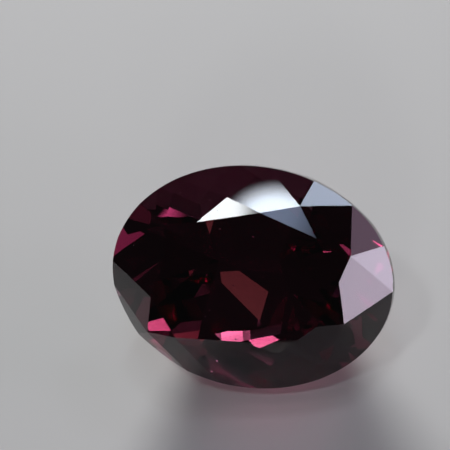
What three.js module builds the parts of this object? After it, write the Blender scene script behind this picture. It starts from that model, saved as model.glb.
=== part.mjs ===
// An oval spinel, cut by hand as a brilliant: a flat table, nine crown mains with stars and upper girdle
// facets between them, a thin oval girdle, and a pavilion of eight mains that meet along a short keel.
// It lies as a loose stone does, on a long pavilion main. Millimetres, +Z up, long axis along X.
import * as THREE from "three";

// Driving dimensions of the stone
const LENGTH = 9.0;
const WIDTH = 7.0;
const CROWN_HEIGHT = 1.1;
const GIRDLE_THICKNESS = 0.45;
const PAVILION_DEPTH = 3.2;

// The keel is askew, as hand-cut keels are: its turn from the long axis in degrees, where it starts and stops
// along itself, and how far it lies from the middle of the stone
const KEEL_TURN = 10;
const KEEL_START = -1.35;
const KEEL_STOP = 0.6;
const KEEL_ASIDE = 0.4;

// Crown mains, anticlockwise from the right end: the way each faces and its slope, in degrees, how far
// its table corner lies to its side, and how high the star point after it stands in the crown
const CROWN_MAINS = [
  { faces: 3, slope: 36, aside: 0.3, star: 0.81 },
  { faces: 56, slope: 40, aside: 0.1, star: 0.72 },
  { faces: 88, slope: 40, aside: -0.15, star: 0.78 },
  { faces: 120, slope: 36, aside: -0.3, star: 0.78 },
  { faces: 165, slope: 31, aside: -0.35, star: 0.6 },
  { faces: 197, slope: 38, aside: 0.5, star: 0.71 },
  { faces: 252, slope: 46, aside: -0.6, star: 0.44 },
  { faces: 276, slope: 34, aside: -0.35, star: 0.77 },
  { faces: 298, slope: 34, aside: 0.75, star: 0.86 },
];

// Pavilion mains, anticlockwise from the one that the stone lies on: the way each faces, in degrees, and how
// far up from the keel the lower girdle facets after it start, as a share of the pavilion's depth
const PAVILION_MAINS = [
  { faces: KEEL_TURN + 270, start: 0.25 },
  { faces: 316, start: 0.45 },
  { faces: 3, start: 0.65 },
  { faces: 43, start: 0.2 },
  { faces: KEEL_TURN + 90, start: 0.3 },
  { faces: 130, start: 0.5 },
  { faces: 180, start: 0.2 },
  { faces: 224, start: 0.45 },
];
// Longest step along the girdle, in degrees of the ellipse's parameter
const GIRDLE_STEP = 4;

const PLUM = 0x3a1026;
const POLISH = 0.03;

const HALF_LENGTH = LENGTH / 2;
const HALF_WIDTH = WIDTH / 2;
const FULL_TURN = 2 * Math.PI;
const GIRDLE_BOTTOM = -GIRDLE_THICKNESS;
const KEEL_HEIGHT = GIRDLE_BOTTOM - PAVILION_DEPTH;
const radians = THREE.MathUtils.degToRad;
const vector = (x, y, z) => new THREE.Vector3(x, y, z);
const level = (angle) => vector(Math.cos(angle), Math.sin(angle), 0);
const leftOf = (direction) => vector(-direction.y, direction.x, 0);

// The ellipse's parameter at the place where its outline faces a given way
function parameterFacing(angle) {
  const turn = Math.atan2(HALF_WIDTH * Math.sin(angle), HALF_LENGTH * Math.cos(angle));
  return (turn + FULL_TURN) % FULL_TURN;
}

function onGirdle(parameter, height) {
  return vector(HALF_LENGTH * Math.cos(parameter), HALF_WIDTH * Math.sin(parameter), height);
}

function planeThrough(a, b, c) {
  return new THREE.Plane().setFromCoplanarPoints(a, b, c);
}

// The point at a given height on the line where two planes meet
function meetingPoint(first, second, height) {
  const up = vector(0, 0, 1);
  const along = first.normal.clone().cross(second.normal);
  const point = second.normal.clone().cross(up).multiplyScalar(-first.constant);
  point.addScaledVector(up.clone().cross(first.normal), -second.constant);
  point.addScaledVector(along, height);
  return point.divideScalar(along.z);
}

// The height of a plane above or below a place on the girdle
function heightOn(plane, parameter) {
  const foot = onGirdle(parameter, 0);
  return -(plane.normal.dot(foot) + plane.constant) / plane.normal.z;
}

// A main touches the girdle's edge at one point, and leans in from there at its slope, up or down
function mainFacet(faces, slope, edgeHeight, upward) {
  const angle = radians(faces);
  const parameter = parameterFacing(angle);
  const outward = level(angle);
  const normal = outward.clone().multiplyScalar(Math.sin(slope));
  normal.z = upward * Math.cos(slope);
  const touch = onGirdle(parameter, edgeHeight);
  const plane = new THREE.Plane().setFromNormalAndCoplanarPoint(normal, touch);
  return { parameter, outward, slope, touch, plane };
}

function crownMain({ faces, slope, aside, star }) {
  const main = mainFacet(faces, radians(slope), 0, 1);
  const corner = main.touch.clone();
  corner.addScaledVector(main.outward, -CROWN_HEIGHT / Math.tan(main.slope));
  corner.addScaledVector(leftOf(main.outward), aside);
  corner.z = CROWN_HEIGHT;
  return { ...main, corner, tipHeight: star * CROWN_HEIGHT };
}

function keelPoint(along) {
  const direction = level(radians(KEEL_TURN));
  const point = vector(0, 0, KEEL_HEIGHT);
  point.addScaledVector(direction, along);
  return point.addScaledVector(leftOf(direction), KEEL_ASIDE);
}

// The keel end that a main reaches is the one farthest the way it faces. The long mains reach both.
function keelEnds(outward) {
  const ends = [keelPoint(KEEL_START), keelPoint(KEEL_STOP)];
  const farthest = Math.max(...ends.map((end) => end.dot(outward)));
  const reached = ends.filter((end) => end.dot(outward) > farthest - 1e-6);
  const left = leftOf(outward);
  return reached.sort((a, b) => b.dot(left) - a.dot(left));
}

function pavilionMain({ faces, start }) {
  const outward = level(radians(faces));
  const reach = onGirdle(parameterFacing(radians(faces)), 0).dot(outward);
  const ends = keelEnds(outward);
  const slope = Math.atan2(PAVILION_DEPTH, reach - ends[0].dot(outward));
  const main = mainFacet(faces, slope, GIRDLE_BOTTOM, -1);
  return { ...main, ends, tipHeight: KEEL_HEIGHT + start * PAVILION_DEPTH };
}

// Between each main and the next: the tip where their ridge stops, and the two facets from that tip to
// the girdle, which part at the girdle point halfway between the mains
function facetsBetween(mains, edgeHeight) {
  return mains.map((main, index) => {
    const next = mains[(index + 1) % mains.length];
    const start = main.parameter;
    const stop = next.parameter > start ? next.parameter : next.parameter + FULL_TURN;
    const middle = (start + stop) / 2;
    const tip = meetingPoint(main.plane, next.plane, main.tipHeight);
    const halfway = onGirdle(middle, edgeHeight);
    return {
      tip,
      halves: [
        { start, stop: middle, plane: planeThrough(tip, main.touch, halfway) },
        { start: middle, stop, plane: planeThrough(tip, halfway, next.touch) },
      ],
    };
  });
}

// Parameters all round the girdle: every place where a facet begins, with even steps between them
function girdleParameters(groups) {
  const starts = groups.flatMap((group) => group.halves.map((half) => half.start % FULL_TURN));
  starts.sort((a, b) => a - b);
  const step = radians(GIRDLE_STEP);
  return starts.flatMap((start, index) => {
    const stop = index + 1 < starts.length ? starts[index + 1] : starts[0] + FULL_TURN;
    const count = Math.ceil((stop - start) / step);
    return Array.from({ length: count }, (_, k) => start + ((stop - start) * k) / count);
  });
}

// The points of one girdle edge that a facet's plane cuts, from the facet's start to its stop
function scallop(half, parameters) {
  const margin = 1e-9;
  const turns = [...parameters, ...parameters.map((parameter) => parameter + FULL_TURN)];
  const inside = turns.filter((turn) => turn > half.start - margin && turn < half.stop + margin);
  return inside.map((turn) => onGirdle(turn, heightOn(half.plane, turn)));
}

function halfAt(groups, parameter) {
  const halves = groups.flatMap((group) => group.halves);
  return halves.find(({ start, stop }) => {
    const turn = parameter < start ? parameter + FULL_TURN : parameter;
    return turn >= start && turn < stop;
  });
}

function stoneGeometry() {
  const crown = CROWN_MAINS.map(crownMain);
  const pavilion = PAVILION_MAINS.map(pavilionMain);
  const crownGroups = facetsBetween(crown, 0);
  const pavilionGroups = facetsBetween(pavilion, GIRDLE_BOTTOM);
  const parameters = girdleParameters([...crownGroups, ...pavilionGroups]);
  const centre = vector(0, 0, GIRDLE_BOTTOM);
  const corners = [];

  // A flat facet as a fan of triangles that face out of the stone
  function addFacet(points) {
    const facing = planeThrough(points[0], points[1], points[2]).normal;
    const outwards = facing.dot(points[0].clone().sub(centre)) > 0;
    const ring = outwards ? points : [...points].reverse();
    for (let k = 1; k + 1 < ring.length; k += 1) {
      corners.push(ring[0], ring[k], ring[k + 1]);
    }
  }

  addFacet(crown.map((main) => main.corner));
  crown.forEach((main, index) => {
    const before = crownGroups[(index + crown.length - 1) % crown.length];
    const after = crownGroups[index];
    const next = crown[(index + 1) % crown.length];
    addFacet([main.touch, after.tip, main.corner, before.tip]);
    addFacet([main.corner, next.corner, after.tip]);
  });
  pavilion.forEach((main, index) => {
    const before = pavilionGroups[(index + pavilion.length - 1) % pavilion.length];
    const after = pavilionGroups[index];
    addFacet([main.touch, after.tip, ...main.ends, before.tip]);
  });
  [...crownGroups, ...pavilionGroups].forEach(({ tip, halves }) => {
    halves.forEach((half) => addFacet([tip, ...scallop(half, parameters)]));
  });
  parameters.forEach((start, index) => {
    const stop = index + 1 < parameters.length ? parameters[index + 1] : parameters[0] + FULL_TURN;
    const middle = (start + stop) / 2;
    const above = halfAt(crownGroups, middle % FULL_TURN).plane;
    const below = halfAt(pavilionGroups, middle % FULL_TURN).plane;
    addFacet([
      onGirdle(start, heightOn(below, start)),
      onGirdle(stop, heightOn(below, stop)),
      onGirdle(stop, heightOn(above, stop)),
      onGirdle(start, heightOn(above, start)),
    ]);
  });

  const geometry = new THREE.BufferGeometry().setFromPoints(corners);
  geometry.computeVertexNormals();
  return { geometry, underside: pavilion[0].plane.normal };
}

function spinel() {
  const { geometry, underside } = stoneGeometry();
  const material = new THREE.MeshStandardMaterial({ color: PLUM, roughness: POLISH, metalness: 0 });
  const mesh = new THREE.Mesh(geometry, material);
  mesh.name = "spinel";
  mesh.quaternion.setFromUnitVectors(underside, vector(0, 0, -1));
  mesh.updateMatrixWorld(true);
  const box = new THREE.Box3().setFromObject(mesh, true);
  const middle = box.getCenter(vector(0, 0, 0));
  mesh.position.set(-middle.x, -middle.y, -box.min.z);
  return mesh;
}

const part = new THREE.Group();
part.add(spinel());
export default part;
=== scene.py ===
"""Looks of a loose oval spinel: clear dark plum crystal on a pale floor, under soft studio light."""
import math

import bmesh
import bpy
from mathutils import Matrix, Vector


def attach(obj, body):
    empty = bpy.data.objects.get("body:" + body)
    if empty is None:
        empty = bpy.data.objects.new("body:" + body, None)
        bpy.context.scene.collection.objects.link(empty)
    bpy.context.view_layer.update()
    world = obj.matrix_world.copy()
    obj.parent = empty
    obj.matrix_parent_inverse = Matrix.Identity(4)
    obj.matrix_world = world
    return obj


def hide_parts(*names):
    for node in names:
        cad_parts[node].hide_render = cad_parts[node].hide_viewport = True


# Camera, in metres and degrees: azimuth 0 looks along +Y
CAMERA_AIM = Vector((-0.00091, 0.00109, 0.00363))
CAMERA_DISTANCE = 0.072
CAMERA_NEAREST = 0.001
CAMERA_AZIMUTH = 31.9
CAMERA_ELEVATION = 53.4
CAMERA_ROLL = -20.8
CAMERA_LENS = 183.5

# Spinel: refraction, and how fast red, green and blue die out inside it
SPINEL_IOR = 1.718
ABSORPTION_PER_METRE = (210.0, 420.0, 325.0)

# The girdle is finely ground: its faces lean less than this towards the stone's axis, as a cosine
GROUND_ROUGHNESS = 0.06
GIRDLE_LEAN = 0.02
FACET_LEAN = 0.06

# Each facet has its own polish, from a noise over the ways that facets face
POLISH_ROUGHNESS = 0.02
POLISH_SCALE = 2.5
POLISH_STARTS = 0.5
POLISH_WORST = 0.75

# Specks of dust: cells per metre, and where a speck starts to fade and ends, as shares of a cell
DUSTY_ROUGHNESS = 0.5
SPECK_SCALE = 1000.0
SPECK_CORE = 0.02
SPECK_RIM = 0.04

# Polishing by hand leaves the small crown facets slightly domed: those that lean between the girdle
# and the table, as cosines with the stone's axis
DOME_RADIUS = 0.050
DOMED_LEAST = 0.1
DOMED_MOST = 0.99

# Triangles of one facet share a plane and their corners
MERGE_DISTANCE = 1e-7
FLAT_ANGLE = 0.2

# Softboxes: name, azimuth, elevation, width and height in degrees as seen from the stone, the share
# of their radius over which they fade out, radiance in the middle, colour
SOFTBOX_DISTANCE = 0.30
SOFTBOXES = (
    ("top_softbox", 280.5, 71.7, 12.0, 12.0, 0.6, 15.0, (0.93, 0.97, 1.0)),
    ("back_softbox", 186.0, 58.2, 10.0, 10.0, 0.6, 16.0, (0.80, 0.89, 1.0)),
    ("back_high_softbox", 197.4, 67.0, 9.0, 7.0, 0.4, 8.0, (1.0, 1.0, 1.0)),
    ("zenith_softbox", 116.0, 82.0, 15.0, 15.0, 0.8, 3.4, (0.55, 0.68, 1.0)),
    ("corner_softbox", 150.0, 40.5, 13.0, 11.0, 0.6, 6.7, (0.68, 0.79, 1.0)),
    ("right_high_softbox", 113.0, 29.0, 38.0, 14.0, 0.4, 1.3, (1.0, 0.66, 0.93)),
    ("right_softbox", 96.0, 10.0, 14.0, 12.0, 0.3, 7.5, (0.92, 0.80, 1.0)),
    ("right_low_softbox", 70.0, 11.0, 12.0, 14.0, 0.3, 5.7, (0.95, 0.80, 1.0)),
    ("front_softbox", 6.0, 28.7, 14.0, 14.0, 0.6, 8.0, (1.0, 1.0, 1.0)),
    ("front_low_softbox", 18.2, 18.5, 10.0, 10.0, 0.3, 6.5, (1.0, 1.0, 1.0)),
    ("front_high_softbox", 5.5, 45.5, 10.0, 14.0, 0.3, 0.6, (0.85, 1.0, 0.5)),
    ("strip_softbox", 50.0, 8.0, 28.0, 12.0, 0.4, 1.2, (1.0, 0.85, 0.6)),
    ("low_softbox", 199.0, 18.0, 36.0, 18.0, 0.3, 40.0, (1.0, 1.0, 1.0)),
)
AMBIENT = (0.02, 0.02, 0.022)

# The floor lies a hair below the stone
FLOOR_HALF = 0.5
FLOOR_DROP = 5e-6
FLOOR_COLOUR = (0.56, 0.555, 0.545, 1.0)
FLOOR_ROUGHNESS = 0.7

# Light crosses the stone many times before it comes out
LIGHT_BOUNCES = 32
CRYSTAL_BOUNCES = 24


def direction(azimuth, elevation):
    """Unit vector towards a place seen at that azimuth and elevation from the stone."""
    a = math.radians(azimuth)
    e = math.radians(elevation)
    return Vector((math.sin(a) * math.cos(e), -math.cos(a) * math.cos(e), math.sin(e)))


def look_at(place, aim, roll=0.0):
    """World matrix at a place that looks at an aim along its -Z axis."""
    turn = (aim - place).to_track_quat("-Z", "Y").to_matrix().to_4x4()
    return Matrix.Translation(place) @ turn @ Matrix.Rotation(math.radians(roll), 4, "Z")


def add_camera():
    data = bpy.data.cameras.new("camera")
    data.lens = CAMERA_LENS
    data.clip_start = CAMERA_NEAREST
    camera = bpy.data.objects.new("camera", data)
    place = CAMERA_AIM + CAMERA_DISTANCE * direction(CAMERA_AZIMUTH, CAMERA_ELEVATION)
    camera.matrix_world = look_at(place, CAMERA_AIM, CAMERA_ROLL)
    bpy.context.scene.collection.objects.link(camera)
    bpy.context.scene.camera = camera


def softbox_size(angle):
    """Width of a softbox that covers an angle, in degrees, as seen from the stone."""
    return 2 * SOFTBOX_DISTANCE * math.tan(math.radians(angle / 2))


def add_softbox(name, azimuth, elevation, wide, high, fade, radiance, colour):
    """An oval light that faces the stone and fades out towards its rim."""
    data = bpy.data.lights.new(name, "AREA")
    data.shape = "ELLIPSE"
    data.size = softbox_size(wide)
    data.size_y = softbox_size(high)
    area = math.pi / 4 * data.size * data.size_y
    data.energy = radiance * math.pi * area
    data.color = colour
    data.use_nodes = True
    tree = data.node_tree
    # The lamp's own coordinates run from 0 to 1 both ways, so its rim is half a unit from its middle
    place = tree.nodes.new("ShaderNodeNewGeometry")
    offset = tree.nodes.new("ShaderNodeVectorMath")
    offset.operation = "DISTANCE"
    offset.inputs[1].default_value = (0.5, 0.5, 0.0)
    strength = tree.nodes.new("ShaderNodeMapRange")
    strength.interpolation_type = "SMOOTHSTEP"
    strength.inputs["From Min"].default_value = 0.5
    strength.inputs["From Max"].default_value = 0.5 * (1 - fade)
    tree.links.new(place.outputs["Parametric"], offset.inputs[0])
    tree.links.new(offset.outputs["Value"], strength.inputs["Value"])
    tree.links.new(strength.outputs["Result"], tree.nodes["Emission"].inputs["Strength"])
    light = bpy.data.objects.new(name, data)
    place_of_light = SOFTBOX_DISTANCE * direction(azimuth, elevation)
    light.matrix_world = look_at(place_of_light, Vector((0, 0, 0)))
    bpy.context.scene.collection.objects.link(light)


def new_material(name):
    material = bpy.data.materials.new(name)
    material.use_nodes = True
    return material, material.node_tree.nodes["Principled BSDF"]


def spinel_material(axis):
    """Clear crystal that darkens with depth: polished facets with specks of dust, and a ground girdle."""
    material, shader = new_material("spinel_crystal")
    tree = material.node_tree
    link = tree.links.new

    def node(kind, **settings):
        made = tree.nodes.new(kind)
        for key, value in settings.items():
            setattr(made, key, value)
        return made

    def ramp(value, low, high, at_low, at_high):
        made = node("ShaderNodeMapRange")
        made.inputs["From Min"].default_value = low
        made.inputs["From Max"].default_value = high
        made.inputs["To Min"].default_value = at_low
        made.inputs["To Max"].default_value = at_high
        link(value, made.inputs["Value"])
        return made.outputs["Result"]

    def larger(first, second):
        made = node("ShaderNodeMath", operation="MAXIMUM")
        link(first, made.inputs[0])
        link(second, made.inputs[1])
        return made.outputs["Value"]

    places = node("ShaderNodeTexCoord")
    # The girdle's faces stand along the stone's axis
    lean = node("ShaderNodeVectorMath", operation="DOT_PRODUCT")
    lean.inputs[1].default_value = axis
    link(places.outputs["Normal"], lean.inputs[0])
    upright = node("ShaderNodeMath", operation="ABSOLUTE")
    link(lean.outputs["Value"], upright.inputs[0])
    ground = ramp(upright.outputs["Value"], GIRDLE_LEAN, FACET_LEAN, GROUND_ROUGHNESS, 0.0)
    # Each facet has its own polish
    polish = node("ShaderNodeTexNoise")
    polish.inputs["Scale"].default_value = POLISH_SCALE
    link(places.outputs["Normal"], polish.inputs["Vector"])
    polished = ramp(polish.outputs["Fac"], POLISH_STARTS, POLISH_WORST, 0.0, POLISH_ROUGHNESS)
    # Specks of dust
    specks = node("ShaderNodeTexVoronoi")
    specks.inputs["Scale"].default_value = SPECK_SCALE
    link(places.outputs["Object"], specks.inputs["Vector"])
    dusty = ramp(specks.outputs["Distance"], SPECK_CORE, SPECK_RIM, DUSTY_ROUGHNESS, 0.0)
    link(larger(larger(ground, polished), dusty), shader.inputs["Roughness"])

    shader.inputs["Base Color"].default_value = (1, 1, 1, 1)
    shader.inputs["IOR"].default_value = SPINEL_IOR
    shader.inputs["Transmission Weight"].default_value = 1.0
    # The volume absorbs its density times one minus its colour
    densest = max(ABSORPTION_PER_METRE)
    absorption = node("ShaderNodeVolumeAbsorption")
    absorption.inputs["Density"].default_value = densest
    absorption.inputs["Color"].default_value = (*[1 - a / densest for a in ABSORPTION_PER_METRE], 1)
    link(absorption.outputs["Volume"], tree.nodes["Material Output"].inputs["Volume"])
    return material


def facet_normals(data, axis):
    """Normals at the corners of every facet: those of the small crown facets lean apart a little."""
    normals = []
    for face in data.polygons:
        domed = DOMED_LEAST < face.normal.dot(axis) < DOMED_MOST
        for corner in face.vertices:
            lean = (data.vertices[corner].co - face.center) / DOME_RADIUS
            normals.append((face.normal + lean).normalized() if domed else face.normal)
    return normals


def add_stone(node):
    """The stone as one closed mesh with a whole face for each facet."""
    mesh = bmesh.new()
    mesh.from_mesh(node.data)
    bmesh.ops.remove_doubles(mesh, verts=mesh.verts, dist=MERGE_DISTANCE)
    flat = math.radians(FLAT_ANGLE)
    bmesh.ops.dissolve_limit(mesh, angle_limit=flat, verts=mesh.verts, edges=mesh.edges)
    table = max(mesh.faces, key=lambda face: face.calc_area())
    axis = table.normal.copy()
    data = bpy.data.meshes.new("cut_spinel")
    mesh.to_mesh(data)
    mesh.free()
    data.shade_smooth()
    data.normals_split_custom_set(facet_normals(data, axis))
    data.materials.append(spinel_material(axis))
    stone = bpy.data.objects.new("cut_spinel", data)
    bpy.context.scene.collection.objects.link(stone)
    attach(stone, "root")
    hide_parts("spinel")


def add_floor():
    material, shader = new_material("pale_floor")
    shader.inputs["Base Color"].default_value = FLOOR_COLOUR
    shader.inputs["Roughness"].default_value = FLOOR_ROUGHNESS
    mesh = bmesh.new()
    bmesh.ops.create_grid(mesh, x_segments=1, y_segments=1, size=FLOOR_HALF)
    data = bpy.data.meshes.new("floor")
    mesh.to_mesh(data)
    mesh.free()
    data.materials.append(material)
    floor = bpy.data.objects.new("floor", data)
    floor.location.z = -FLOOR_DROP
    bpy.context.scene.collection.objects.link(floor)


def set_surroundings():
    world = bpy.data.worlds.new("studio")
    world.use_nodes = True
    world.node_tree.nodes["Background"].inputs["Color"].default_value = (*AMBIENT, 1)
    scene = bpy.context.scene
    scene.world = world
    scene.view_settings.view_transform = "Standard"
    scene.cycles.max_bounces = LIGHT_BOUNCES
    scene.cycles.transmission_bounces = CRYSTAL_BOUNCES
    scene.cycles.glossy_bounces = CRYSTAL_BOUNCES


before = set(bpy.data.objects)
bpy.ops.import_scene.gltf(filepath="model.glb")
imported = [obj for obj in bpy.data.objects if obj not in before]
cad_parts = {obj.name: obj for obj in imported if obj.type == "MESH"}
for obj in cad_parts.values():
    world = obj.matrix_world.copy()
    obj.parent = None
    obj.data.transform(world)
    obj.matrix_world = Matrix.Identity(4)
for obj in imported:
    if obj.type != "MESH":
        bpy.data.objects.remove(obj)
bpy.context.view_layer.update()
add_camera()
add_floor()
add_stone(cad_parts["spinel"])
for softbox in SOFTBOXES:
    add_softbox(*softbox)
set_surroundings()
